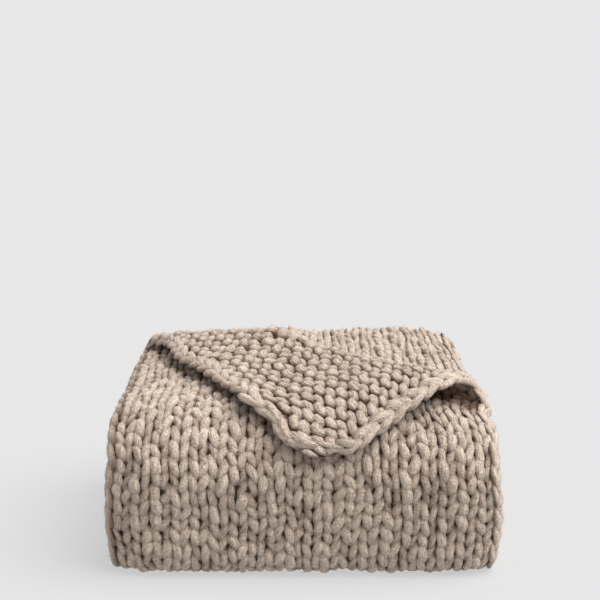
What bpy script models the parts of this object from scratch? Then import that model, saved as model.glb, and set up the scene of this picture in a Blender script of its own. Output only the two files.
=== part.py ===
"""A chunky knit blanket, folded into a thick pad, with one corner of its top layer turned over.

Metres, +Z up. The front of the pad faces -Y, and the origin is on the floor under its middle.
The cloth is made flat, as it is knitted, and every point of it is then folded: back and forth
inside the pad, under it, up its front and over its top, where its corner is turned over.
A point of the flat cloth is (across, along, out): across the width, along the length from the
end that is hidden in the pad, and out of the middle of the cloth on its smooth knit side.
"""

import math

import bmesh
import bpy

# The cloth
WIDTH = 0.386
THICKNESS = 0.0112
EDGE_ROUND = 0.005
EDGE_SHARE = 0.45
EDGE_INNER = 0.0200

# The pad
LAYER_STEP = 0.0127
INNER_LAYERS = 11
BACK_REACH = (0.1480, 0.1455, 0.1485, 0.1460, 0.1490, 0.1465)
FRONT_SLACK = (0.0010, 0.0025, 0.0008, 0.0030, 0.0012)
WALL_Y = -0.1500
CORNER_RADIUS = 0.0200
SHOULDER_RADIUS = 0.0700

# The corner turned over: its crease runs from the back left to the right edge
CREASE_ANGLE = math.radians(30.0)
CREASE_LEFT_Y = 0.1200
CREASE_RADIUS_LEFT = 0.0076
CREASE_RADIUS_RIGHT = 0.0165
PAST_CREASE_LEFT = 0.0130
LOOP_BULGE = 0.0120
FLAP_SHEAR = 0.0700
TIP_RADIUS = 0.0650
FLAP_CLEAR = 0.0045
FLAP_SETTLE = 0.1000

# How soft, heavy knit settles
SIDE_START = 0.1350
SIDE_SAG = 0.050
FRONT_SETBACK = 0.0170
BACK_SETBACK = 0.0080
BULGE = 0.028
TOP_NARROWING = 0.045
BACK_NARROWING = 0.110
SWELL_START_Y = -0.0800
BACK_SWELL = 0.200
SWELL_LEAN = 0.300
WAVE = 0.0016
WAVE_ACROSS = 0.190
WAVE_DEEP = 0.230

# Faces along and across the cloth
ACROSS_STEPS = 8
STATIONS_Y = (-0.1000, -0.0600, -0.0200, 0.0200, 0.0600, 0.0900, 0.1200)
FOLD_STEPS = 5
CORNER_STEPS = 4
TOP_STEPS = 16
CREASE_STEPS = 8
FLAP_STEPS = 10

COLOUR = (0.47, 0.38, 0.30, 1.0)

HALF = WIDTH / 2
MIDDLE = THICKNESS / 2
TOP_Z = MIDDLE + (INNER_LAYERS + 1) * LAYER_STEP
FOLD_RADIUS = LAYER_STEP / 2
LAYER_GAP = LAYER_STEP - THICKNESS


def clamp(value, low=0.0, high=1.0):
    return max(low, min(high, value))


def ease(share):
    """0 at 0 and 1 at 1, level at both ends."""
    share = clamp(share)
    return share * share * (3 - 2 * share)


def layer_height(layer):
    return MIDDLE + layer * LAYER_STEP


def inner_fold_y(height, reach):
    """The furthest forward that a fold of this outer reach fits inside the wrapped front."""
    corner_z = MIDDLE + CORNER_RADIUS
    shoulder_z = TOP_Z - SHOULDER_RADIUS
    clear = MIDDLE + LAYER_GAP + reach
    if height > shoulder_z:
        room, rise, radius = SHOULDER_RADIUS - clear, height - shoulder_z, SHOULDER_RADIUS
    elif height < corner_z:
        room, rise, radius = CORNER_RADIUS - clear, corner_z - height, CORNER_RADIUS
    else:
        return WALL_Y + clear
    return WALL_Y + radius - math.sqrt(max(0.0, room * room - rise * rise))


def cloth_runs():
    """The section's runs from the hidden end, each (length, turn in radians, face count)."""
    half_turn = math.pi * FOLD_RADIUS
    runs = []
    front = inner_fold_y(layer_height(INNER_LAYERS), MIDDLE)
    start = (front, layer_height(INNER_LAYERS))
    for fold, back in enumerate(BACK_REACH):
        runs.append((back - front, 0.0, 0))
        runs.append((half_turn, -math.pi, FOLD_STEPS))
        if fold < len(FRONT_SLACK):
            height = layer_height(INNER_LAYERS - 2 * fold - 1) - FOLD_RADIUS
            front = inner_fold_y(height, FOLD_RADIUS + MIDDLE) + FRONT_SLACK[fold]
            runs.append((back - front, 0.0, 0))
            runs.append((half_turn, math.pi, FOLD_STEPS))
    quarter = math.pi / 2
    wall = TOP_Z - MIDDLE - CORNER_RADIUS - SHOULDER_RADIUS
    runs.append((BACK_REACH[-1] - WALL_Y - CORNER_RADIUS, 0.0, 0))
    runs.append((quarter * CORNER_RADIUS, -quarter, CORNER_STEPS))
    runs.append((wall, 0.0, 1))
    runs.append((quarter * SHOULDER_RADIUS, -quarter, 0))
    return start, runs


class Section:
    """The line of the cloth's middle, seen from the side, as a function of the length along it."""

    def __init__(self):
        (y, z), self.runs = cloth_runs()
        heading, along = 0.0, 0.0
        self.starts = []
        for length, turn, _ in self.runs:
            self.starts.append((along, y, z, heading))
            y, z, heading = self.step(y, z, heading, length, turn, length)
            along += length
        self.top_start = along
        self.starts.append((along, y, z, heading))
        self.crease_left = along + CREASE_LEFT_Y - y
        self.end = self.crease_left + PAST_CREASE_LEFT / math.cos(CREASE_ANGLE)

    @staticmethod
    def step(y, z, heading, length, turn, done):
        """Where a run of this length and turn has got to once this much of it is done."""
        if not turn:
            return y + done * math.cos(heading), z + done * math.sin(heading), heading
        radius = length / turn
        ahead = heading + turn * done / length
        y += radius * (math.sin(ahead) - math.sin(heading))
        z -= radius * (math.cos(ahead) - math.cos(heading))
        return y, z, ahead

    def at(self, along, out):
        """The place, seen from the side, of a point this far along and this far out."""
        index = 0
        while index < len(self.runs) and along > self.starts[index + 1][0]:
            index += 1
        begun, y, z, heading = self.starts[index]
        length, turn = self.runs[index][:2] if index < len(self.runs) else (1.0, 0.0)
        y, z, heading = self.step(y, z, heading, length, turn, along - begun)
        return y - out * math.sin(heading), z + out * math.cos(heading)

    def crease(self, across):
        """How far along the cloth its diagonal crease lies."""
        return self.crease_left - (across + HALF) * math.tan(CREASE_ANGLE)


def fold_point(section, across, along, out):
    """Folds a point of the flat cloth into the pad, with its corner turned over."""
    sine, cosine = math.sin(CREASE_ANGLE), math.cos(CREASE_ANGLE)
    past = (along - section.crease(across)) * cosine
    if past <= 0:
        return (across, *section.at(along, out))
    down_crease = (across + HALF) * cosine - (along - section.crease_left) * sine
    share = clamp(down_crease * cosine / WIDTH)
    radius = CREASE_RADIUS_LEFT + (CREASE_RADIUS_RIGHT - CREASE_RADIUS_LEFT) * share
    turned = min(past / radius, math.pi)
    flap = max(0.0, past - math.pi * radius)
    down_crease += LOOP_BULGE * share * math.sin(turned) - FLAP_SHEAR * flap
    lying = THICKNESS + FLAP_CLEAR
    settled = (2 * radius - lying) * ease(flap / FLAP_SETTLE)
    reach = (radius - out) * math.sin(turned) - flap
    height = radius - (radius - out) * math.cos(turned) - settled
    across = down_crease * cosine + reach * sine - HALF
    along = section.crease_left - down_crease * sine + reach * cosine
    return (across, *section.at(along, height))


def settle_point(x, y, z):
    """Lets the neatly folded pad narrow to its top, swell at its back folds, sag and roll."""
    rise = z / TOP_Z
    deep = clamp(0.5 - y / (2 * WALL_Y))
    side = clamp((abs(x) - SIDE_START) / (HALF - SIDE_START), 0.0, 1.1) ** 2
    wave = math.cos(2 * math.pi * (x / WAVE_ACROSS + 0.13))
    wave *= math.cos(2 * math.pi * (y / WAVE_DEEP - 0.10))
    belly = BULGE * math.sin(math.pi * clamp(rise))
    belly -= (TOP_NARROWING + BACK_NARROWING * deep) * min(rise, 1.0) ** 4
    swell = BACK_SWELL * (1 + SWELL_LEAN * x / HALF)
    swell *= ease((y - SWELL_START_Y) / (BACK_REACH[0] - SWELL_START_Y))
    return (
        x * (1 + belly),
        y + side * (FRONT_SETBACK * ease(1 - deep) - BACK_SETBACK * ease(deep)),
        z * (1 + swell) * (1 - SIDE_SAG * side) + WAVE * rise * wave,
    )


def lengthwise_rows(section):
    """Each row of points as a function that gives its length along the cloth, by across."""
    level = [0.0]
    for (length, turn, faces), (begun, y, _, heading) in zip(section.runs, section.starts):
        if turn and not faces:
            break
        if not faces:
            reached = sorted((station - y) * math.cos(heading) for station in STATIONS_Y)
            level += [begun + done for done in reached if 0 < done < length]
        faces = max(faces, 1)
        level += [begun + length * (step + 1) / faces for step in range(faces)]
    rows = [lambda across, along=along: along for along in level]

    def between(step, steps, first, last):
        share = (step + 1) / steps
        return lambda across: first(across) + share * (last(across) - first(across))

    def end(across):
        """The cloth's free end, with its right corner rounded."""
        inside = max(0.0, across - (HALF - TIP_RADIUS))
        return section.end - TIP_RADIUS + math.sqrt(TIP_RADIUS**2 - inside**2)

    def fold_end(across):
        """Where the crease's half turn is done, or most of the way to a near edge."""
        share = clamp((across + HALF) / WIDTH)
        radius = CREASE_RADIUS_LEFT + (CREASE_RADIUS_RIGHT - CREASE_RADIUS_LEFT) * share
        full = math.pi * radius / math.cos(CREASE_ANGLE)
        return section.crease(across) + min(full, 0.6 * (end(across) - section.crease(across)))

    stretches = (
        (TOP_STEPS, rows[-1], section.crease),
        (CREASE_STEPS, section.crease, fold_end),
        (FLAP_STEPS, fold_end, end),
    )
    for steps, first, last in stretches:
        rows += [between(step, steps, first, last) for step in range(steps)]
    return rows


def crosswise_columns():
    """Each column of points: its place across the cloth, and its share of the thickness."""
    full, near = HALF - EDGE_ROUND, HALF - EDGE_INNER
    places = [near * (2 * step / ACROSS_STEPS - 1) for step in range(ACROSS_STEPS + 1)]
    places = [-full] + places + [full]
    return [(-HALF, EDGE_SHARE)] + [(place, 1.0) for place in places] + [(HALF, EDGE_SHARE)]


def flat_slab(columns, rows):
    """A closed flat slab whose points count their column, row and side as whole numbers."""
    slab = bmesh.new()
    bmesh.ops.create_grid(slab, x_segments=len(columns) - 1, y_segments=len(rows) - 1, size=0.5)
    for vertex in slab.verts:
        vertex.co.x = round((vertex.co.x + 0.5) * (len(columns) - 1))
        vertex.co.y = round((vertex.co.y + 0.5) * (len(rows) - 1))
        vertex.co.z = -1.0
    raised = bmesh.ops.extrude_face_region(slab, geom=slab.faces[:])["geom"]
    for item in raised:
        if isinstance(item, bmesh.types.BMVert):
            item.co.z = 1.0
    bmesh.ops.recalc_face_normals(slab, faces=slab.faces[:])
    return slab


def knit_cloth():
    """The whole blanket as one mesh, folded and settled, with its middle over the origin."""
    section = Section()
    rows, columns = lengthwise_rows(section), crosswise_columns()
    cloth = flat_slab(columns, rows)
    for vertex in cloth.verts:
        across, share = columns[round(vertex.co.x)]
        row = round(vertex.co.y)
        if row in (0, len(rows) - 1):
            share = min(share, EDGE_SHARE)
        along = rows[row](across)
        out = vertex.co.z * MIDDLE * share
        vertex.co = settle_point(*fold_point(section, across, along, out))
    for axis in (0, 1):
        places = [vertex.co[axis] for vertex in cloth.verts]
        middle = (min(places) + max(places)) / 2
        for vertex in cloth.verts:
            vertex.co[axis] -= middle
    mesh = bpy.data.meshes.new("blanket")
    cloth.to_mesh(mesh)
    cloth.free()
    return mesh


def yarn_material():
    material = bpy.data.materials.new("oatmeal_yarn")
    material.use_nodes = True
    shader = material.node_tree.nodes["Principled BSDF"]
    shader.inputs["Base Color"].default_value = COLOUR
    shader.inputs["Roughness"].default_value = 0.95
    shader.inputs["Metallic"].default_value = 0.0
    return material


def main():
    for item in list(bpy.data.objects):
        bpy.data.objects.remove(item)
    mesh = knit_cloth()
    mesh.shade_smooth()
    mesh.materials.append(yarn_material())
    blanket = bpy.data.objects.new("blanket", mesh)
    bpy.context.scene.collection.objects.link(blanket)


if __name__ == "__main__":
    main()
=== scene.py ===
import logging
import math
from dataclasses import dataclass, field
from enum import Enum

import bmesh
import bpy
import numpy as np
from mathutils import Euler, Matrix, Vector


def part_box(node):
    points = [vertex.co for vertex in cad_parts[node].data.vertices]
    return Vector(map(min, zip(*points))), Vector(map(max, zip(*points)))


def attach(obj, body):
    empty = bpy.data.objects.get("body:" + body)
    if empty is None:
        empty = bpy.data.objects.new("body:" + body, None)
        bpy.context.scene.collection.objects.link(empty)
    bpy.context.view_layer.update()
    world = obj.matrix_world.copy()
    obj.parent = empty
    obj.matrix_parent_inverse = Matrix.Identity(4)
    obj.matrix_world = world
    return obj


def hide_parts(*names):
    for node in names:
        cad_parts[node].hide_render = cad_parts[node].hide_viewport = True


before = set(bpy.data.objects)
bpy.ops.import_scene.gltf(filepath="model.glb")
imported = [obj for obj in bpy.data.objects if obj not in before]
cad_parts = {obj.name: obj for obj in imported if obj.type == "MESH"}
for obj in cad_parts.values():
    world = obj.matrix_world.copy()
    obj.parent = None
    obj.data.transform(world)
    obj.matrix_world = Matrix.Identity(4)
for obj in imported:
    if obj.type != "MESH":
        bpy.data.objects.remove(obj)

LOG = logging.getLogger("blanket")
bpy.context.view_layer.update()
CAD_NODE = "blanket"
FULL_TURN = 2 * math.pi


def ease(share: np.ndarray) -> np.ndarray:
    """0 at 0 and 1 at 1, level at both ends."""
    share = np.clip(share, 0.0, 1.0)
    return share * share * (3 - 2 * share)


def unit(vectors: np.ndarray) -> np.ndarray:
    """The same directions with length 1."""
    return vectors / np.maximum(np.linalg.norm(vectors, axis=-1, keepdims=True), 1e-9)


@dataclass(frozen=True)
class PadSize:
    """The sizes of the folded pad, in metres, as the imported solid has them."""

    width: float = 0.386
    thickness: float = 0.0112
    layer_step: float = 0.0127
    inner_layers: int = 11
    back_reach: tuple[float, ...] = (0.1480, 0.1455, 0.1485, 0.1460, 0.1490, 0.1465)
    front_slack: tuple[float, ...] = (0.0010, 0.0025, 0.0008, 0.0030, 0.0012)
    wall_y: float = -0.1500
    corner_radius: float = 0.0200
    shoulder_radius: float = 0.0700
    crease_angle: float = math.radians(30)
    crease_left_y: float = 0.1200
    crease_radius_left: float = 0.0076
    crease_radius_right: float = 0.0165
    past_crease_left: float = 0.0130
    loop_bulge: float = 0.0120
    flap_shear: float = 0.0700
    tip_radius: float = 0.0650
    flap_clear: float = 0.0045
    flap_settle: float = 0.1000
    side_start: float = 0.1350
    side_sag: float = 0.050
    front_setback: float = 0.0170
    back_setback: float = 0.0080
    bulge: float = 0.028
    top_narrowing: float = 0.045
    back_narrowing: float = 0.110
    swell_start_y: float = -0.0800
    back_swell: float = 0.200
    swell_lean: float = 0.300
    wave: float = 0.0016
    wave_across: float = 0.190
    wave_deep: float = 0.230
    slump: float = 0.0080
    slump_from: float = -0.060
    slump_width: float = 0.100
    sink: float = 0.0025
    knit_tip: float = 0.0560
    fuller_left: float = 0.030
    fuller_left_rise: float = 0.97
    fuller_left_spread: float = 0.20
    fuller_right: float = 0.046
    fuller_right_rise: float = 0.93
    fuller_right_spread: float = 0.13
    left_eased: float = 0.60
    arch: float = 0.0085
    arch_x: float = -0.020
    arch_width: float = 0.034

    @property
    def half(self) -> float:
        """Half the cloth's width."""
        return self.width / 2

    @property
    def middle(self) -> float:
        """Height of the lowest layer's middle."""
        return self.thickness / 2

    @property
    def top_z(self) -> float:
        """Height of the top layer's middle."""
        return self.middle + (self.inner_layers + 1) * self.layer_step

    @property
    def fold_radius(self) -> float:
        """Radius of each half turn between two layers."""
        return self.layer_step / 2


class Section:
    """The line of the cloth's middle, seen from the side, as a function of the length along it."""

    def __init__(self, size: PadSize) -> None:
        """Lays the runs end to end.

        Args:
            size: The pad's sizes.
        """
        self.size = size
        start, runs = self.cloth_runs()
        self.lengths = np.array([length for length, _ in runs] + [1.0])
        self.turns = np.array([turn for _, turn in runs] + [0.0])
        states = [(0.0, start[0], start[1], 0.0)]
        for length, turn in runs:
            along, y, z, heading = states[-1]
            y, z, heading = self.step(y, z, heading, length, turn, length)
            states.append((along + length, float(y), float(z), float(heading)))
        self.states = np.array(states)
        self.top_start = states[-1][0]
        self.crease_left = self.top_start + size.crease_left_y - states[-1][1]
        self.end = self.crease_left + size.past_crease_left / math.cos(size.crease_angle)

    def layer_height(self, layer: int) -> float:
        """Height of a layer's middle."""
        return self.size.middle + layer * self.size.layer_step

    def inner_fold_y(self, height: float, reach: float) -> float:
        """How far forward an inner fold comes, behind the cloth that wraps the front.

        Args:
            height: Height of the fold's middle.
            reach: How far the fold stands out from its middle.

        Returns:
            The fold's y.
        """
        size = self.size
        corner_z = size.middle + size.corner_radius
        shoulder_z = size.top_z - size.shoulder_radius
        clear = size.middle + size.layer_step - size.thickness + reach
        if height > shoulder_z:
            radius, rise = size.shoulder_radius, height - shoulder_z
        elif height < corner_z:
            radius, rise = size.corner_radius, corner_z - height
        else:
            return size.wall_y + clear
        room = radius - clear
        return size.wall_y + radius - math.sqrt(max(0.0, room * room - rise * rise))

    def cloth_runs(self) -> tuple[tuple[float, float], list[tuple[float, float]]]:
        """The straight and turning runs of the cloth.

        Returns:
            The start's y and z, and each run's length and turn.
        """
        size = self.size
        half_turn = math.pi * size.fold_radius
        height = self.layer_height(size.inner_layers)
        front = self.inner_fold_y(height, size.middle)
        start = (front, height)
        runs: list[tuple[float, float]] = []
        for fold, back in enumerate(size.back_reach):
            runs += [(back - front, 0.0), (half_turn, -math.pi)]
            if fold < len(size.front_slack):
                lower = self.layer_height(size.inner_layers - 2 * fold - 1) - size.fold_radius
                front = self.inner_fold_y(lower, size.fold_radius + size.middle)
                front += size.front_slack[fold]
                runs += [(back - front, 0.0), (half_turn, math.pi)]
        quarter = math.pi / 2
        wall = size.top_z - size.middle - size.corner_radius - size.shoulder_radius
        runs += [
            (size.back_reach[-1] - size.wall_y - size.corner_radius, 0.0),
            (quarter * size.corner_radius, -quarter),
            (wall, 0.0),
            (quarter * size.shoulder_radius, -quarter),
        ]
        return start, runs

    @staticmethod
    def step(y, z, heading, length, turn, done):
        """Where a run has got to once this much of it is done, for numbers or arrays.

        Args:
            y: The run's start.
            z: The run's start.
            heading: The run's direction at its start.
            length: The run's length.
            turn: How far the run turns in all.
            done: How much of it is done.

        Returns:
            The y, z and direction there.
        """
        bend = turn / length
        curved = np.where(turn == 0, 1.0, bend)
        ahead = heading + bend * done
        arc_y = (np.sin(ahead) - np.sin(heading)) / curved
        arc_z = -(np.cos(ahead) - np.cos(heading)) / curved
        y = y + np.where(turn == 0, done * np.cos(heading), arc_y)
        z = z + np.where(turn == 0, done * np.sin(heading), arc_z)
        return y, z, ahead

    def at(self, along: np.ndarray, out: np.ndarray) -> tuple[np.ndarray, np.ndarray]:
        """The places, seen from the side, of points this far along and this far out.

        Args:
            along: Length along the cloth.
            out: Distance from the cloth's middle, towards its knit side.

        Returns:
            The y and z of each.
        """
        index = np.searchsorted(self.states[:, 0], along, side="left") - 1
        index = np.clip(index, 0, len(self.lengths) - 1)
        begun, y, z, heading = self.states[index].T
        length, turn = self.lengths[index], self.turns[index]
        y, z, heading = self.step(y, z, heading, length, turn, along - begun)
        return y - out * np.sin(heading), z + out * np.cos(heading)

    def crease(self, across: np.ndarray) -> np.ndarray:
        """How far along the cloth its diagonal crease lies."""
        return self.crease_left - (across + self.size.half) * math.tan(self.size.crease_angle)


class Fold:
    """Turns places on the flat cloth into places in the folded pad."""

    def __init__(self, size: PadSize, back_edge: float) -> None:
        """Prepares the folds.

        Args:
            size: The pad's sizes.
            back_edge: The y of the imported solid's back.
        """
        self.size = size
        self.section = Section(size)
        self.shift_y = back_edge - max(size.back_reach) - size.fold_radius - size.middle

    def place(self, flat: np.ndarray) -> np.ndarray:
        """Folds points and lets them settle.

        Args:
            flat: Points as across, along and out of the flat cloth.

        Returns:
            The points in the pad, in metres.
        """
        placed = self.settled(*self.folded(*flat.T))
        placed[:, 1] += self.shift_y
        placed[:, 2] = self.pressed(placed[:, 2])
        return placed

    def folded(self, across, along, out):
        """Wraps the layers and turns the top one's corner over.

        Args:
            across: Places across the cloth.
            along: Places along the cloth.
            out: Distances towards the knit side.

        Returns:
            The x, y and z of each point of the neat pad.
        """
        size, section = self.size, self.section
        sine, cosine = math.sin(size.crease_angle), math.cos(size.crease_angle)
        past = (along - section.crease(across)) * cosine
        over = past > 0
        down = (across + size.half) * cosine - (along - section.crease_left) * sine
        share = np.clip(down * cosine / size.width, 0.0, 1.0)
        radius = size.crease_radius_left
        radius = radius + (size.crease_radius_right - size.crease_radius_left) * share
        turned = np.clip(past / radius, 0.0, math.pi)
        flap = np.maximum(0.0, past - math.pi * radius)
        down = down + size.loop_bulge * share * np.sin(turned) - size.flap_shear * flap
        lying = size.thickness + size.flap_clear
        sunk = (2 * radius - lying) * ease(flap / size.flap_settle)
        reach = (radius - out) * np.sin(turned) - flap
        height = radius - (radius - out) * np.cos(turned) - sunk
        across = np.where(over, down * cosine + reach * sine - size.half, across)
        along = np.where(over, section.crease_left - down * sine + reach * cosine, along)
        y, z = section.at(along, np.where(over, height, out))
        return across, y, z

    def settled(self, x, y, z) -> np.ndarray:
        """Lets the neat pad narrow to its top, swell at its back folds, sag and roll.

        Args:
            x: Places across the neat pad.
            y: Places from its front to its back.
            z: Heights.

        Returns:
            The settled points.
        """
        size = self.size
        rise = z / size.top_z
        deep = np.clip(0.5 - y / (2 * size.wall_y), 0.0, 1.0)
        side = (np.abs(x) - size.side_start) / (size.half - size.side_start)
        side = np.clip(side, 0.0, 1.1) ** 2
        wave = np.cos(FULL_TURN * (x / size.wave_across + 0.13))
        wave = wave * np.cos(FULL_TURN * (y / size.wave_deep - 0.10))
        left = ease(-x / 0.10)
        narrowing = (size.top_narrowing + size.back_narrowing * deep) * (1 - size.left_eased * left)
        belly = size.bulge * np.sin(math.pi * np.clip(rise, 0.0, 1.0))
        belly = belly - narrowing * np.minimum(rise, 1.0) ** 4
        above = (rise - size.fuller_left_rise) / size.fuller_left_spread
        belly = belly + size.fuller_left * left * np.exp(-(above**2))
        above = (rise - size.fuller_right_rise) / size.fuller_right_spread
        front_right = ease(x / 0.10) * (1 - ease(1.3 * deep))
        belly = belly + size.fuller_right * front_right * np.exp(-(above**2))
        backwards = (y - size.swell_start_y) / (size.back_reach[0] - size.swell_start_y)
        swell = size.back_swell * (1 + size.swell_lean * x / size.half) * ease(backwards)
        back = size.front_setback * ease(1 - deep) - size.back_setback * ease(deep)
        slump = size.slump * ease((size.slump_from - x) / size.slump_width)
        slump = slump * ease((y + 0.060) / 0.120) + size.sink * ease((y - 0.040) / 0.080)
        lowered = z * (1 + swell) * (1 - size.side_sag * side) - slump * rise**2
        arch = size.arch * np.exp(-(((x - size.arch_x) / size.arch_width) ** 2))
        lowered = lowered + arch * ease(y / 0.060) * rise**4
        return np.stack((x * (1 + belly), y + side * back, lowered + size.wave * rise * wave), 1)

    def past_crease(self, across: np.ndarray, along: np.ndarray) -> np.ndarray:
        """How far past the crease places lie, straight across it."""
        return (along - self.section.crease(across)) * math.cos(self.size.crease_angle)

    def turned_over(self, across: np.ndarray, along: np.ndarray) -> np.ndarray:
        """1 on the turned corner and 0 on the rest of the cloth."""
        return ease(self.past_crease(across, along) / 0.017)

    @staticmethod
    def pressed(height: np.ndarray) -> np.ndarray:
        """Flattens what would lie below the surface that the pad rests on."""
        soft = 0.0020
        return np.where(height < soft, soft * np.exp((height - soft) / soft), height)


class Wander:
    """Smooth unevenness over the flat cloth, the same in every run."""

    def __init__(self, seed: int, longest: float, shortest: float, waves: int = 9) -> None:
        """Picks the waves.

        Args:
            seed: Which unevenness.
            longest: Longest wavelength, in metres.
            shortest: Shortest wavelength.
            waves: How many waves are added up.
        """
        rng = np.random.default_rng(seed)
        lengths = np.geomspace(longest, shortest, waves)
        angles = rng.uniform(0, FULL_TURN, waves)
        self.pull = np.stack((np.cos(angles), np.sin(angles))) * FULL_TURN / lengths
        self.phases = rng.uniform(0, FULL_TURN, waves)
        self.sizes = np.sqrt(lengths / longest)
        self.sizes /= np.sqrt((self.sizes**2).sum() / 2)

    def at(self, across: np.ndarray, along: np.ndarray) -> np.ndarray:
        """The unevenness at places on the cloth, mostly between -2 and 2."""
        places = np.stack((across, along), -1) @ self.pull + self.phases
        return (np.sin(places) * self.sizes).sum(-1)


@dataclass(frozen=True)
class YarnSize:
    """How thick the yarn is and how its loops lie, in metres."""

    width: float = 0.0096
    thickness: float = 0.0080
    column: float = 0.0184
    columns: int = 20
    row: float = 0.0137
    swing: float = 0.0035
    slip: float = 0.0022
    face_share: float = 0.26
    purl_share: float = -0.20
    purl_plump: float = -0.02
    lumps: float = 0.055
    rise: float = 0.0103
    depth: float = 0.0028
    tilt: float = 0.0004
    border: float = 0.0110
    last_row: float = 0.0130
    edge_out: float = 0.0135
    side_out: float = 0.0080
    twist: float = 70.0

    @property
    def half_panel(self) -> float:
        """Half the width that the stitch columns cover."""
        return self.column * self.columns / 2


class Shows(Enum):
    """Which sides of a knit are seen, and so which parts of its yarn lie deep and are darkened with
    painted shade.
    """

    BOTH_SIDES = "both sides"
    OUTSIDE = "outside"

    def hollow_shade(self, out: np.ndarray) -> np.ndarray:
        """How deep a point lies between the loops, as the mask for the painted shade there.

        Args:
            out: Distance from the knit's middle, towards its face.

        Returns:
            1 in the hollows, where the painted shade is full, and 0 on the loops' crowns.
        """
        # Painted shade: with both sides seen, the knit's middle is darkest; on the chain, its inner
        # side.
        height = np.abs(out) if self is Shows.BOTH_SIDES else out + 0.0030
        return 1 - ease((height - 0.0014) / 0.0054)


@dataclass
class Strand:
    """Rings of one or more strands: arrays of shape strands by rings."""

    centre: np.ndarray
    half_width: np.ndarray
    half_thickness: np.ndarray
    start: np.ndarray
    shows: Shows


def copied(name: str, shape: bmesh.types.BMesh, count: int) -> tuple:
    """Many copies of one shape as a single mesh.

    Args:
        name: The mesh's name.
        shape: The shape, which is used up.
        count: How many copies.

    Returns:
        The mesh, the number of each point's copy, and each point's place in the shape.
    """
    single = bpy.data.meshes.new(name + "_one")
    shape.to_mesh(single)
    shape.free()
    holder = bpy.data.objects.new(name + "_one", single)
    bpy.context.scene.collection.objects.link(holder)
    copies = holder.modifiers.new("copies", "ARRAY")
    copies.count = count
    copies.use_relative_offset = False
    bpy.context.view_layer.update()
    graph = bpy.context.evaluated_depsgraph_get()
    mesh = bpy.data.meshes.new_from_object(holder.evaluated_get(graph))
    mesh.name = name
    which = np.arange(len(mesh.vertices)) // len(single.vertices)
    bpy.data.objects.remove(holder)
    bpy.data.meshes.remove(single)
    places = np.empty(len(mesh.vertices) * 3, np.float32)
    mesh.vertices.foreach_get("co", places)
    return mesh, which, places.reshape(-1, 3).astype(float)


def finished(mesh: bpy.types.Mesh, places: np.ndarray, fibre: np.ndarray, hollow_shade: np.ndarray):
    """Puts a mesh's points in their places, with what its finish reads.

    Args:
        mesh: The mesh.
        places: Where its points belong.
        fibre: Each point's place in its yarn: two directions across it and one along it.
        hollow_shade: How deep each point lies between the loops, which the finish darkens as
            painted shade.

    Returns:
        The smooth object, linked to the scene.
    """
    mesh.vertices.foreach_set("co", places.astype(np.float32).ravel())
    lines = mesh.attributes.new("fibre", "FLOAT_VECTOR", "POINT")
    lines.data.foreach_set("vector", fibre.astype(np.float32).ravel())
    # The mask of the painted shade between the loops.
    deep = mesh.attributes.new("hollow_shade", "FLOAT", "POINT")
    deep.data.foreach_set("value", hollow_shade.astype(np.float32))
    mesh.shade_smooth()
    mesh.update()
    piece = bpy.data.objects.new(mesh.name, mesh)
    bpy.context.scene.collection.objects.link(piece)
    return piece


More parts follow.
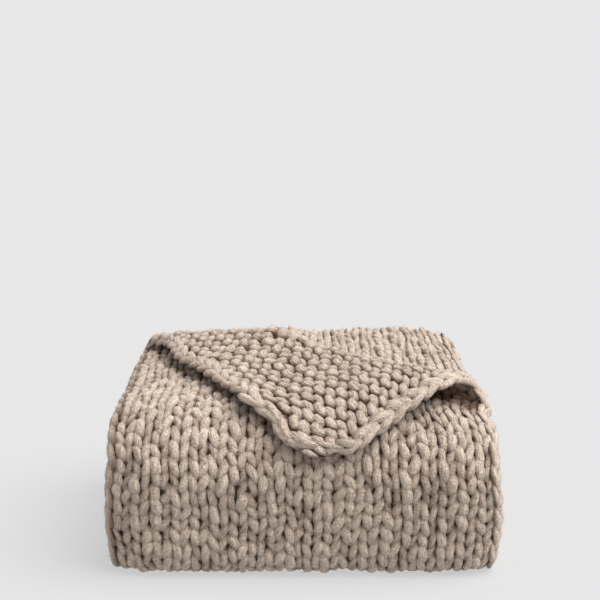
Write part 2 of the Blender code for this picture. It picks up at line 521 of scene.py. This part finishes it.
class Spinner:
    """Spins closed tubes of yarn along paths and lays them on the folds."""

    def __init__(self, fold: Fold, yarn: YarnSize, tip: "TipCorner") -> None:
        """Keeps what every tube needs.

        Args:
            fold: The folds.
            yarn: The yarn's sizes.
            tip: The rounded corner.
        """
        self.fold = fold
        self.yarn = yarn
        self.tip = tip
        self.slip = Wander(8, 0.110, 0.028)
        self.sideways = Wander(3, 0.170, 0.040)
        self.lengthways = Wander(4, 0.150, 0.036)
        self.loft = Wander(5, 0.120, 0.030)
        self.surface: list[np.ndarray] = []
        self.ruck = Ruck()

    @staticmethod
    def tube(rings: int, sides: int) -> bmesh.types.BMesh:
        """One straight capped tube of radius 1 and length 1."""
        tube = bmesh.new()
        bmesh.ops.create_cone(
            tube, cap_ends=True, cap_tris=True, segments=sides,
            radius1=1.0, radius2=1.0, depth=1.0,
        )
        long_edges = [e for e in tube.edges if abs(e.verts[0].co.z - e.verts[1].co.z) > 0.5]
        bmesh.ops.subdivide_edges(tube, edges=long_edges, cuts=rings - 2, use_grid_fill=True)
        bmesh.ops.recalc_face_normals(tube, faces=tube.faces[:])
        return tube

    def spin(self, name: str, strand: Strand, sides: int, lay=None) -> bpy.types.Object:
        """Makes one piece of all strands.

        Args:
            name: The piece's name.
            strand: The strands' rings.
            sides: Points on each ring.
            lay: Turns the strands' own coordinates into those of the flat cloth.

        Returns:
            The finished object, smooth and with its fibre directions and the mask of its painted
            shade.
        """
        strands, rings = strand.half_width.shape
        mesh, which, corners = copied(name, self.tube(rings, sides), strands)
        ring = np.rint((corners[:, 2] + 0.5) * (rings - 1)).astype(int)
        circle = corners[:, :2]
        pace = np.gradient(strand.centre, axis=1)
        ahead = unit(pace)
        beside = unit(np.stack((-ahead[..., 1], ahead[..., 0], 0 * ahead[..., 0]), -1))
        above = np.cross(ahead, beside)
        length = np.cumsum(np.linalg.norm(pace, axis=-1), axis=1) + strand.start[:, None]
        aside = beside[which, ring] * (circle[:, :1] * strand.half_width[which, ring][:, None])
        up = above[which, ring] * (circle[:, 1:] * strand.half_thickness[which, ring][:, None])
        lumps = np.random.default_rng(31).normal(0.0, self.yarn.lumps, len(which)).clip(-0.11, 0.11)
        flat = strand.centre[which, ring] + (aside + up) * (1 + lumps[:, None])
        # Painted shade: the yarn's colour is darkened where it lies deep between the loops.
        hollow_shade, out = strand.shows.hollow_shade(flat[:, 2]), flat[:, 2]
        # The painted shade is cut to 0.4 of its strength on the cloth's first 0.30 m along.
        shade = 0.4 + 0.6 * ease((flat[:, 1] - 0.30) / 0.05)
        if lay:
            flat = lay(flat)
        over = self.fold.turned_over(flat[:, 0], flat[:, 1])
        placed = self.fold.place(self.relaxed(flat))
        seen = out * (1.0 if strand.shows is Shows.OUTSIDE else 1 - 2 * over) > 0.0015
        self.keep_surface(placed, which * rings + ring, (strands, rings), seen)
        run = length[which, ring]
        angle = np.arctan2(circle[:, 1], circle[:, 0]) - self.yarn.twist * run
        reach = self.yarn.width / 2 * np.linalg.norm(circle, axis=1)
        fibre = np.stack((reach * np.cos(angle), reach * np.sin(angle), run), 1)
        # Painted shade: on the right part, from just before the crease on, the knit side facing the
        # cavity under the turned corner is painted fully dark, and the turned corner's hollows are
        # painted darker.
        under = ease((self.fold.past_crease(flat[:, 0], flat[:, 1]) + 0.020) / 0.025)
        under = under * ease((flat[:, 0] - 0.04) / 0.06)
        if strand.shows is Shows.BOTH_SIDES:
            hollow_shade = np.minimum(hollow_shade * shade * (1 + 0.35 * over), 1.0)
            hollow_shade = np.maximum(hollow_shade, under * ease(out / 0.003))
        return finished(mesh, placed, fibre, hollow_shade)

    def keep_surface(
        self, placed: np.ndarray, ring: np.ndarray, shape: tuple[int, int], seen: np.ndarray
    ) -> None:
        """Remembers where a piece's yarn is seen, for the fuzz.

        Args:
            placed: The piece's points.
            ring: The number of each point's ring.
            shape: How many strands, and how many rings on each.
            seen: Which points are on the outside of the folded cloth.
        """
        counts = np.bincount(ring)
        middle = np.stack([np.bincount(ring, placed[:, axis]) / counts for axis in range(3)], 1)
        ahead = unit(np.gradient(middle.reshape(*shape, 3), axis=1)).reshape(-1, 3)
        away = unit(placed - middle[ring])
        self.surface.append(np.stack((placed, ahead[ring], away), 1)[seen])

    def relaxed(self, flat: np.ndarray) -> np.ndarray:
        """Rounds the corner, then lets rows and columns wander a little.

        Args:
            flat: Points of the even flat cloth.

        Returns:
            Points of the uneven one.
        """
        moved = self.tip.rounded(flat)
        across, along = moved[:, 0].copy(), moved[:, 1].copy()
        ruck = self.ruck.share(across, self.tip.end - along)
        stretch = self.yarn.edge_out * ease((along - self.tip.end + 0.130) / 0.130)
        stretch = stretch * ease((across + 0.170) / 0.120)
        stretch = stretch * (1 - 1.3 * ease((across - 0.100) / 0.080))
        moved[:, 1] += self.ruck.push * ruck + stretch
        moved[:, 1] -= self.ruck.pulled_in(across, self.tip.end - along)
        corner = ease((across - 0.080) / 0.100) * ease((along - self.tip.end + 0.090) / 0.090)
        moved[:, 0] += self.yarn.side_out * corner
        moved[:, 2] -= self.ruck.height * ruck
        moved[:, 0] += 0.0012 * self.sideways.at(across, along)
        moved[:, 1] += 0.0012 * self.lengthways.at(across, along)
        moved[:, 2] += 0.0005 * self.loft.at(across, along)
        return moved


@dataclass(frozen=True)
class Ruck:
    """The short place on the turned edge where the border is rolled up higher."""

    across: float = 0.094
    half_length: float = 0.0150
    reach: float = 0.0130
    height: float = 0.0055
    push: float = 0.0040
    plump: float = 0.30
    notch: float = 0.0080
    notch_across: float = 0.124
    notch_width: float = 0.022

    def share(self, across: np.ndarray, from_end: np.ndarray) -> np.ndarray:
        """1 in the middle of the bump, falling to 0 round it."""
        beside = (across - self.across) / self.half_length
        return np.exp(-(beside**2) - (from_end / self.reach) ** 2)

    def pulled_in(self, across: np.ndarray, from_end: np.ndarray) -> np.ndarray:
        """How far the edge beside the bump is drawn in."""
        beside = (across - self.notch_across) / self.notch_width
        return self.notch * np.exp(-(beside**2)) * (1 - ease(from_end / 0.070))


@dataclass(frozen=True)
class TipCorner:
    """The rounded corner of the cloth that is turned over."""

    side: float
    end: float
    radius: float

    def rounded(self, flat: np.ndarray) -> np.ndarray:
        """Draws the corner's square in to a quarter disc.

        Args:
            flat: Points of a cloth with a square corner.

        Returns:
            The points with the corner round.
        """
        moved = flat.copy()
        beside = np.clip((flat[:, 0] - self.side + self.radius) / self.radius, 0.0, 1.2)
        beyond = np.clip((flat[:, 1] - self.end + self.radius) / self.radius, 0.0, 1.2)
        moved[:, 0] -= self.radius * beside * (1 - np.sqrt(1 - np.minimum(beyond, 1) ** 2 / 2))
        moved[:, 1] -= self.radius * beyond * (1 - np.sqrt(1 - np.minimum(beside, 1) ** 2 / 2))
        return moved


@dataclass
class KnitPanel:
    """Rows of interlocked loops, knit side out."""

    spinner: Spinner
    rows_from: float
    detail: int = 16
    sides: int = 10

    def row_places(self, first: float, last: float) -> list[int]:
        """The numbers of the rows whose middles lie between two lengths along the cloth."""
        pitch = self.spinner.yarn.row
        low = math.ceil((first - self.rows_from) / pitch)
        high = math.ceil((last - self.rows_from) / pitch)
        return list(range(max(low, 0), high))

    def loops(self, rows: list[int], first_columns: list[int], columns: int) -> Strand:
        """The rings of some rows' yarn.

        Args:
            rows: The rows' numbers.
            first_columns: The column at which each strand of a row starts.
            columns: How many columns each strand crosses.

        Returns:
            The strands.
        """
        yarn = self.spinner.yarn
        rings = self.detail * columns + 1
        turns = np.linspace(0.0, columns, rings)[None, :]
        pairs = [(row, column) for row in rows for column in first_columns]
        row = np.array([pair[0] for pair in pairs])[:, None]
        start = np.array([pair[1] for pair in pairs])[:, None]
        turns = turns + start
        angle = FULL_TURN * turns
        uneven = [self.leg_noise(row, turns, seed) for seed in (11, 12, 13, 14)]
        across = -yarn.half_panel + turns * yarn.column
        across = across + (yarn.swing + 0.0008 * uneven[0]) * np.sin(2 * angle)
        across = across + 0.0008 * uneven[1] * np.sin(angle) ** 2
        along = self.rows_from + row * yarn.row - yarn.rise * np.cos(angle)
        along = along + yarn.slip * self.spinner.slip.at(across, 0.25 * along)
        along = along + 0.0012 * uneven[2] * np.sin(angle) ** 2
        along = self.drawn_in(along)
        front = -np.cos(2 * angle)
        over = self.spinner.fold.turned_over(across, along)
        share = yarn.face_share + (yarn.purl_share - yarn.face_share) * over
        out = yarn.depth * (front + share * (1 - front**2))
        out = out + yarn.tilt * np.cos(angle) + 0.0007 * uneven[3] * np.sin(angle) ** 2
        plump = 1.0 + 0.10 * uneven[3] - 0.04 * front * (1 - over) + yarn.purl_plump * over
        centre = np.stack(np.broadcast_arrays(across, along, out), -1)
        return Strand(
            centre,
            yarn.width / 2 * plump,
            yarn.thickness / 2 * plump,
            1.7 * np.broadcast_to(row + 0.37 * start, plump.shape)[:, 0],
            Shows.BOTH_SIDES,
        )

    def drawn_in(self, along: np.ndarray) -> np.ndarray:
        """Pulls the last row's loops in under the border."""
        limit, soft = self.spinner.tip.end - 0.0065, 0.0030
        return limit - soft * np.logaddexp(0.0, (limit - along) / soft)

    @staticmethod
    def leg_noise(row: np.ndarray, turns: np.ndarray, seed: int) -> np.ndarray:
        """A random number for each leg of each loop, run smoothly from one leg to the next.

        Args:
            row: Row numbers.
            turns: Places along each row, in loops.
            seed: Which numbers.

        Returns:
            The numbers, with a mean of 0 and a spread of 1.
        """
        table = np.random.default_rng(seed).normal(0.0, 1.0, (400, 64)).clip(-2.0, 2.0)
        place = 2 * turns - 0.5 + 2
        step = np.floor(place).astype(int)
        share = ease(place - step)
        row = np.broadcast_to(row, place.shape)
        return table[row, step] * (1 - share) + table[row, step + 1] * share

    def piece(self, name, first, last, first_columns=(0,), columns=None) -> bpy.types.Object:
        """Knits the rows between two lengths along the cloth.

        Args:
            name: The piece's name.
            first: Where its rows start.
            last: Where they end.
            first_columns: The column at which each strand starts.
            columns: How many columns a strand crosses, or none for all.

        Returns:
            The piece.
        """
        rows = self.row_places(first, last)
        return self.knit(name, rows, first_columns, columns)

    def knit(self, name, rows, first_columns=(0,), columns=None) -> bpy.types.Object:
        """Knits rows by their numbers, as piece does by their places."""
        columns = columns or self.spinner.yarn.columns
        strand = self.loops(rows, list(first_columns), columns)
        return self.spinner.spin(name, strand, self.sides)


class EdgeRoute:
    """The closed line round the flat cloth on which its border chain lies."""

    def __init__(self, half: float, first: float, last: float, tip: float, corner: float) -> None:
        """Draws the line: up the right side, round the tip, back across, and down the left side.

        Args:
            half: Half the width it encloses.
            first: Where it starts along the cloth.
            last: Where it ends.
            tip: Radius of the tip.
            corner: Radius of the other corners.
        """
        corners = (
            (half - corner, first + corner, corner, -90),
            (half - tip, last - tip, tip, 0),
            (-half + corner, last - corner, corner, 90),
            (-half + corner, first + corner, corner, 180),
        )
        points = []
        for x, y, radius, begin in corners:
            angles = np.radians(np.linspace(begin, begin + 90, 25))
            points.append(np.stack((x + radius * np.cos(angles), y + radius * np.sin(angles)), 1))
        line = np.concatenate(points)
        line = np.concatenate((line, line[:1]))
        steps = np.linalg.norm(np.diff(line, axis=0), axis=1)
        self.knots = np.concatenate(([0.0], np.cumsum(steps)))
        self.line = line
        self.length = float(self.knots[-1])

    def at(self, run: np.ndarray) -> tuple[np.ndarray, np.ndarray]:
        """Places on the line and the directions outwards there.

        Args:
            run: Lengths along the line.

        Returns:
            The points, and the outward directions.
        """
        near = 0.002
        points = [self.point(run + step) for step in (-near, 0.0, near)]
        ahead = unit(points[2] - points[0])
        return points[1], np.stack((ahead[:, 1], -ahead[:, 0]), 1)

    def point(self, run: np.ndarray) -> np.ndarray:
        """The point this far along the line."""
        run = np.mod(run, self.length)
        return np.stack([np.interp(run, self.knots, self.line[:, axis]) for axis in (0, 1)], 1)


@dataclass
class BorderChain:
    """The chain of edge stitches that runs round the whole cloth."""

    spinner: Spinner
    route: EdgeRoute
    pitch: float = 0.0205
    column: float = 0.0100
    swing: float = 0.0031
    depth: float = 0.0018
    width: float = 0.0072
    thickness: float = 0.0066
    roll: float = 0.0036
    detail: int = 15
    sides: int = 8

    def build(self) -> bpy.types.Object:
        """Links the chain."""
        links = round(self.route.length / self.pitch)
        pitch = self.route.length / links
        turns = np.linspace(0.10, 0.90, self.detail)[None, :]
        link = np.arange(links)[:, None]
        angle = FULL_TURN * turns
        rng = np.random.default_rng(21)
        uneven = rng.normal(0.0, 1.0, (3, links, 1)).clip(-2, 2)
        across = (turns - 0.5) * self.column + (self.swing + 0.0004 * uneven[0]) * np.sin(2 * angle)
        along = (link + 0.5) * pitch - 0.76 * pitch * np.cos(angle)
        out = -self.depth * np.cos(2 * angle) + 0.0007 * np.cos(angle)
        plump = 1.0 + 0.08 * uneven[1] - 0.13 * np.cos(2 * angle)
        centre = np.stack(np.broadcast_arrays(across + 0.0005 * uneven[2], along, out), -1)
        ruck, middle = self.spinner.ruck, self.route.point(along[:, self.detail // 2])
        bumps = ruck.share(middle[:, 0], 0.5 * (self.spinner.tip.end - middle[:, 1]))
        plump = plump * (1 + ruck.plump * bumps[:, None])
        strand = Strand(
            centre,
            self.width / 2 * plump,
            self.thickness / 2 * plump,
            0.9 * link[:, 0],
            Shows.OUTSIDE,
        )
        return self.spinner.spin("border_chain", strand, self.sides, self.lay)

    def lay(self, local: np.ndarray) -> np.ndarray:
        """Lays the chain on its line, turned to face outwards or rolled to the purl side.

        Args:
            local: Points as across, along and out of the chain itself.

        Returns:
            Points of the flat cloth.
        """
        place, outward = self.route.at(local[:, 1])
        fold_end = self.spinner.fold.section.states[1, 0]
        facing = self.facing(place)
        sine, cosine = np.sin(facing), np.cos(facing)
        near = ease((fold_end - place[:, 1]) / 0.020)
        aside = local[:, 0] * (1 - 0.45 * near)
        outwards = aside * cosine + (local[:, 2] + self.roll) * sine
        raised = -aside * sine + (local[:, 2] + self.roll) * cosine
        flat = place + outward * (outwards - 0.0014 * near)[:, None]
        return np.stack((flat[:, 0], flat[:, 1], raised), 1)

    def facing(self, place: np.ndarray) -> np.ndarray:
        """How far the chain is turned from the knit side, in radians."""
        fold = self.spinner.fold
        past = place[:, 1] - fold.section.crease(place[:, 0])
        front = place[:, 1] - fold.section.states[-4, 0]
        in_front = ease(front / 0.030)
        in_front = np.maximum(in_front, ease((fold.section.states[1, 0] - place[:, 1]) / 0.020))
        turned = 90.0 + np.where(place[:, 0] > 0, -38.0, -12.0) * in_front
        turned = turned + (148.0 - turned) * ease(past / 0.060)
        return np.radians(turned)


@dataclass
class Fuzz:
    """Fine loose fibres that stand out of the yarn where it is seen."""

    spinner: Spinner
    count: int = 46000
    shortest: float = 0.0030
    longest: float = 0.0080
    radius: float = 0.00018
    lift: float = 0.35
    stray: float = 0.40

    def build(self) -> bpy.types.Object:
        """Plants the fibres."""
        rng = np.random.default_rng(41)
        surface = np.concatenate(self.spinner.surface)
        root, ahead, away = surface[rng.choice(len(surface), self.count)].transpose(1, 0, 2)
        turn = rng.choice((-1.0, 1.0), (self.count, 1))
        lift = self.lift * rng.uniform(0.2, 1.8, (self.count, 1))
        stray = self.stray * rng.normal(0.0, 1.0, (self.count, 1))
        point = unit(ahead * turn + away * lift + np.cross(ahead, away) * stray)
        point[:, 2] = np.where(root[:, 2] < self.longest, np.abs(point[:, 2]), point[:, 2])
        length = rng.uniform(self.shortest, self.longest, (self.count, 1))
        side = unit(np.cross(point, away))
        blade = bmesh.new()
        bmesh.ops.create_cone(
            blade, cap_ends=True, segments=3, radius1=self.radius, radius2=0.0, depth=1.0
        )
        mesh, which, corners = copied("yarn_fuzz", blade, self.count)
        places = root[which] - self.radius * away[which]
        places += side[which] * corners[:, :1] + np.cross(point, side)[which] * corners[:, 1:2]
        places += (point * length)[which] * (corners[:, 2:] + 0.5)
        shade = rng.uniform(-1.0, 1.0, (self.count, 3))[which]
        return finished(mesh, places, shade, np.zeros(len(which)))


@dataclass
class CoreSheet:
    """The thin closed sheet in the middle of the knit, seen only between its loops; its dark colour
    is painted shade there.
    """

    spinner: Spinner
    thickness: float = 0.0030
    inset: float = 0.0090
    across: int = 22
    step: float = 0.0062

    def build(self) -> bpy.types.Object:
        """Cuts the flat sheet and folds it."""
        fold = self.spinner.fold
        half, section = fold.size.half - self.inset, fold.section
        first, last = self.inset, section.end - self.inset
        rows = round((last - first) / self.step)
        sheet = bmesh.new()
        bmesh.ops.create_grid(sheet, x_segments=self.across, y_segments=rows, size=1.0)
        raised = bmesh.ops.extrude_face_region(sheet, geom=sheet.faces[:])["geom"]
        for item in raised:
            if isinstance(item, bmesh.types.BMVert):
                item.co.z = 1.0
        bmesh.ops.recalc_face_normals(sheet, faces=sheet.faces[:])
        mesh = bpy.data.meshes.new("core_sheet")
        sheet.to_mesh(mesh)
        sheet.free()
        places = np.empty(len(mesh.vertices) * 3, np.float32)
        mesh.vertices.foreach_get("co", places)
        places = places.reshape(-1, 3).astype(float)
        flat = np.empty_like(places)
        flat[:, 0] = places[:, 0] * half
        flat[:, 1] = first + (places[:, 1] + 1) / 2 * (last - first)
        flat[:, 2] = (places[:, 2] - 0.5) * self.thickness
        placed = fold.place(self.spinner.relaxed(flat))
        mesh.vertices.foreach_set("co", placed.astype(np.float32).ravel())
        mesh.shade_smooth()
        mesh.update()
        piece = bpy.data.objects.new("core_sheet", mesh)
        bpy.context.scene.collection.objects.link(piece)
        return piece


@dataclass(frozen=True)
class YarnFinish:
    """Soft matte oatmeal roving with a light twist, darkened with painted shade between its loops.
    """

    pale: tuple[float, float, float] = (0.86, 0.72, 0.600)
    dark: tuple[float, float, float] = (0.33, 0.230, 0.162)
    # Painted shade: the colour multiplied into the yarn where it lies deep between its loops.
    deep: tuple[float, float, float] = (0.31, 0.21, 0.15)
    slub_share: float = 0.4
    fluff_share: float = 0.9
    spread: float = 0.32
    roughness: float = 0.92
    sheen: float = 0.35
    specular: float = 0.18

    def material(self, name: str) -> bpy.types.Material:
        """Makes the finish.

        Args:
            name: The material's name.

        Returns:
            The material.
        """
        material = bpy.data.materials.new(name)
        material.use_nodes = True
        nodes, links = material.node_tree.nodes, material.node_tree.links
        shader = nodes["Principled BSDF"]
        shader.inputs["Roughness"].default_value = self.roughness
        shader.inputs["Specular IOR Level"].default_value = self.specular
        shader.inputs["Sheen Weight"].default_value = self.sheen
        shader.inputs["Sheen Roughness"].default_value = 0.6
        shader.inputs["Sheen Tint"].default_value = (0.98, 0.95, 0.91, 1.0)
        lines = nodes.new("ShaderNodeAttribute")
        lines.attribute_name = "fibre"
        source = lines.outputs["Vector"]
        place = nodes.new("ShaderNodeTexCoord").outputs["Object"]
        streak = self.noise(nodes, links, source, (520.0, 520.0, 110.0), 3, 0.65)
        slub = self.noise(nodes, links, source, (70.0, 70.0, 40.0), 2, 0.5)
        fluff = self.noise(nodes, links, place, (430.0, 430.0, 430.0), 3, 0.6)
        both = self.added(nodes, links, slub, self.slub_share, streak)
        whole = self.added(nodes, links, fluff, self.fluff_share, both)
        height = self.added(nodes, links, fluff, self.fluff_share, streak)
        middle = 0.5 * (1 + self.slub_share + self.fluff_share)
        spread = nodes.new("ShaderNodeMapRange")
        spread.inputs["From Min"].default_value = middle - self.spread
        spread.inputs["From Max"].default_value = middle + self.spread
        links.new(whole, spread.inputs["Value"])
        ramp = nodes.new("ShaderNodeMix")
        ramp.data_type = "RGBA"
        ramp.inputs["A"].default_value = (*self.dark, 1.0)
        ramp.inputs["B"].default_value = (*self.pale, 1.0)
        links.new(spread.outputs["Result"], ramp.inputs["Factor"])
        # Painted shade: the deep colour is multiplied into the yarn's colour where the mask is
        # high, between its loops.
        mask = nodes.new("ShaderNodeAttribute")
        mask.attribute_name = "hollow_shade"
        hollow_shade = nodes.new("ShaderNodeMix")
        hollow_shade.data_type = "RGBA"
        hollow_shade.blend_type = "MULTIPLY"
        hollow_shade.inputs["B"].default_value = (*self.deep, 1.0)
        links.new(mask.outputs["Fac"], hollow_shade.inputs["Factor"])
        links.new(ramp.outputs["Result"], hollow_shade.inputs["A"])
        links.new(hollow_shade.outputs["Result"], shader.inputs["Base Color"])
        bump = nodes.new("ShaderNodeBump")
        bump.inputs["Strength"].default_value = 0.9
        bump.inputs["Distance"].default_value = 0.0034
        links.new(height, bump.inputs["Height"])
        links.new(bump.outputs["Normal"], shader.inputs["Normal"])
        return material

    @staticmethod
    def added(nodes, links, value, share, other) -> bpy.types.NodeSocket:
        """A share of one value added to another."""
        both = nodes.new("ShaderNodeMath")
        both.operation = "MULTIPLY_ADD"
        both.inputs[1].default_value = share
        links.new(value, both.inputs[0])
        links.new(other, both.inputs[2])
        return both.outputs[0]

    @staticmethod
    def noise(nodes, links, source, scale, detail, rough) -> bpy.types.NodeSocket:
        """Noise stretched to a scale for each axis of its source.

        Args:
            nodes: The material's nodes.
            links: Its links.
            source: The coordinates.
            scale: The scale along each axis.
            detail: The noise's detail.
            rough: How strong the detail is.

        Returns:
            The noise's value, from 0 to 1.
        """
        mapping = nodes.new("ShaderNodeMapping")
        mapping.inputs["Scale"].default_value = scale
        links.new(source, mapping.inputs["Vector"])
        texture = nodes.new("ShaderNodeTexNoise")
        texture.inputs["Scale"].default_value = 1.0
        texture.inputs["Detail"].default_value = detail
        texture.inputs["Roughness"].default_value = rough
        links.new(mapping.outputs["Vector"], texture.inputs["Vector"])
        return texture.outputs["Fac"]


@dataclass(frozen=True)
class CoreShadeFinish:
    """Painted shade: the brown dark that stands in for the shadow seen between the knit's loops."""

    # Painted shade colours, far darker than the yarn itself.
    light: tuple[float, float, float] = (0.110, 0.070, 0.045)
    dark: tuple[float, float, float] = (0.042, 0.026, 0.016)
    grain: float = 260.0

    def material(self, name: str) -> bpy.types.Material:
        """Makes the finish.

        Args:
            name: The material's name.

        Returns:
            The material.
        """
        material = bpy.data.materials.new(name)
        material.use_nodes = True
        nodes, links = material.node_tree.nodes, material.node_tree.links
        shader = nodes["Principled BSDF"]
        shader.inputs["Roughness"].default_value = 1.0
        shader.inputs["Specular IOR Level"].default_value = 0.0
        place = nodes.new("ShaderNodeTexCoord")
        fluff = nodes.new("ShaderNodeTexNoise")
        fluff.inputs["Scale"].default_value = self.grain
        fluff.inputs["Detail"].default_value = 3.0
        links.new(place.outputs["Object"], fluff.inputs["Vector"])
        ramp = nodes.new("ShaderNodeMix")
        ramp.data_type = "RGBA"
        ramp.inputs["A"].default_value = (*self.dark, 1.0)
        ramp.inputs["B"].default_value = (*self.light, 1.0)
        links.new(fluff.outputs["Fac"], ramp.inputs["Factor"])
        links.new(ramp.outputs["Result"], shader.inputs["Base Color"])
        return material


@dataclass
class Studio:
    """A plain pale ground, soft light and the camera."""

    ground_tone: float = 0.16
    ground_glow: float = 0.532
    ground_half: float = 40.0
    lens: float = 81.0
    camera_place: tuple[float, float, float] = (-0.004, -1.407, 0.548)
    camera_down: float = 12.0
    room_light: float = 0.45
    lamp_light: float = 4.60
    lamp_spread: float = 60.0
    lamp_from: tuple[float, float, float] = (0.62, -0.06, 1.0)

    def ground(self) -> bpy.types.Object:
        """A wide floor whose far side rises gently as the backdrop."""
        floor = bmesh.new()
        bmesh.ops.create_grid(floor, x_segments=4, y_segments=80, size=self.ground_half)
        begin, radius = 4.0, 60.0
        for vertex in floor.verts:
            past = max(0.0, vertex.co.y - begin)
            vertex.co.z = past * past / (2 * radius)
        mesh = bpy.data.meshes.new("ground")
        floor.to_mesh(mesh)
        floor.free()
        mesh.shade_smooth()
        material = bpy.data.materials.new("pale_ground")
        material.use_nodes = True
        shader = material.node_tree.nodes["Principled BSDF"]
        tone = self.ground_tone
        shader.inputs["Base Color"].default_value = (tone, tone, tone, 1.0)
        shader.inputs["Roughness"].default_value = 1.0
        shader.inputs["Specular IOR Level"].default_value = 0.0
        shader.inputs["Emission Color"].default_value = (1.0, 1.0, 1.0, 1.0)
        shader.inputs["Emission Strength"].default_value = self.ground_glow
        mesh.materials.append(material)
        ground = bpy.data.objects.new("ground", mesh)
        bpy.context.scene.collection.objects.link(ground)
        return ground

    def light(self) -> None:
        """Lights the scene with a pale room and one very soft lamp above the front."""
        world = bpy.data.worlds.new("studio")
        world.use_nodes = True
        sky = world.node_tree.nodes["Background"]
        sky.inputs["Color"].default_value = (1.0, 1.0, 1.0, 1.0)
        sky.inputs["Strength"].default_value = self.room_light
        bpy.context.scene.world = world
        lamp = bpy.data.lights.new("soft_lamp", "SUN")
        lamp.energy = self.lamp_light
        lamp.angle = math.radians(self.lamp_spread)
        soft = bpy.data.objects.new("soft_lamp", lamp)
        soft.rotation_euler = (-Vector(self.lamp_from)).to_track_quat("-Z", "Y").to_euler()
        bpy.context.scene.collection.objects.link(soft)

    def camera(self) -> None:
        """Places the camera where the photo was taken from."""
        lens = bpy.data.cameras.new("camera")
        lens.lens = self.lens
        lens.sensor_width = 36.0
        eye = bpy.data.objects.new("camera", lens)
        eye.location = self.camera_place
        eye.rotation_euler = Euler((math.radians(90.0 - self.camera_down), 0.0, 0.0))
        bpy.context.scene.collection.objects.link(eye)
        bpy.context.scene.camera = eye
        bpy.context.scene.view_settings.view_transform = "Standard"


class Blanket:
    """The whole folded blanket: its knit, its border and its core."""

    def __init__(self) -> None:
        """Settles the sizes."""
        self.size = PadSize()
        self.fold = Fold(self.size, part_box(CAD_NODE)[1][1])
        self.yarn = YarnSize()
        section = self.fold.section
        self.last_row = section.end - self.yarn.last_row
        room = self.last_row - self.yarn.border - self.yarn.rise
        self.rows = int(room / self.yarn.row) + 1
        self.rows_from = self.last_row - (self.rows - 1) * self.yarn.row
        tip = TipCorner(self.size.half, section.end, self.size.knit_tip)
        self.spinner = Spinner(self.fold, self.yarn, tip)
        LOG.info("the cloth is %.3f m long and has %d rows", section.end, self.rows)

    def build(self) -> list[bpy.types.Object]:
        """Makes every yarn piece.

        Returns:
            The pieces.
        """
        size, section = self.size, self.fold.section
        begun = section.states[:, 0]
        fine = KnitPanel(self.spinner, self.rows_from)
        coarse = KnitPanel(self.spinner, self.rows_from, 12, 8)
        plain = KnitPanel(self.spinner, self.rows_from, 10, 6)
        wrap = begun[-4] - 0.012
        crown = section.top_start - 0.030
        limit = self.last_row + 0.5 * self.yarn.row
        shelf = 0.0
        open_end = begun[2] + 0.016
        pieces = [
            fine.piece("knit_front", wrap, crown),
            fine.piece("knit_top", crown, limit),
            fine.piece("knit_upper_layer", shelf, open_end),
        ]
        under = begun[-5] - 0.030
        folds = []
        for turn in range(3, len(begun) - 5, 4):
            folds += coarse.row_places(begun[turn + 2] - 0.022, begun[turn + 3] + 0.022)
        folds = [row for row in sorted(set(folds)) if open_end <= self.place(row) < under]
        pieces.append(coarse.knit("knit_back_folds", folds))
        kept = len(self.spinner.surface)
        pieces.append(plain.piece("knit_underside", under, wrap))
        del self.spinner.surface[kept:]
        full = set(folds)
        stubs = [row for row in coarse.row_places(0.0, under) if row not in full]
        stubs = [row for row in stubs if not shelf <= self.place(row) < open_end]
        ends = (0, self.yarn.columns - 2)
        pieces.append(coarse.knit("knit_layer_ends", stubs, ends, 2))
        inset = 0.0090
        last = self.spinner.tip.end - inset
        route = EdgeRoute(size.half - inset, inset, last, size.knit_tip - inset, 0.014)
        pieces.append(BorderChain(self.spinner, route).build())
        pieces.append(Fuzz(self.spinner).build())
        return pieces

    def place(self, row: int) -> float:
        """How far along the cloth a row's middle lies."""
        return self.rows_from + row * self.yarn.row


def main() -> None:
    """Builds the blanket and its surroundings, and reports each piece."""
    logging.basicConfig(level=logging.INFO, format="%(message)s")
    blanket = Blanket()
    pieces = blanket.build()
    finish = YarnFinish()
    wool = finish.material("oatmeal_wool")
    # The core's dark material is painted shade between the loops.
    shade = CoreShadeFinish().material("core_painted_shade")
    core = CoreSheet(blanket.spinner).build()
    core.data.materials.append(shade)
    for piece in pieces:
        piece.data.materials.append(wool)
    for piece in pieces + [core]:
        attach(piece, "root")
        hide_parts(CAD_NODE)
        count = sum(len(face.vertices) - 2 for face in piece.data.polygons)
        LOG.info("%s: %d triangles", piece.name, count)
    studio = Studio()
    studio.ground()
    studio.light()
    studio.camera()


if __name__ == "__main__":
    main()
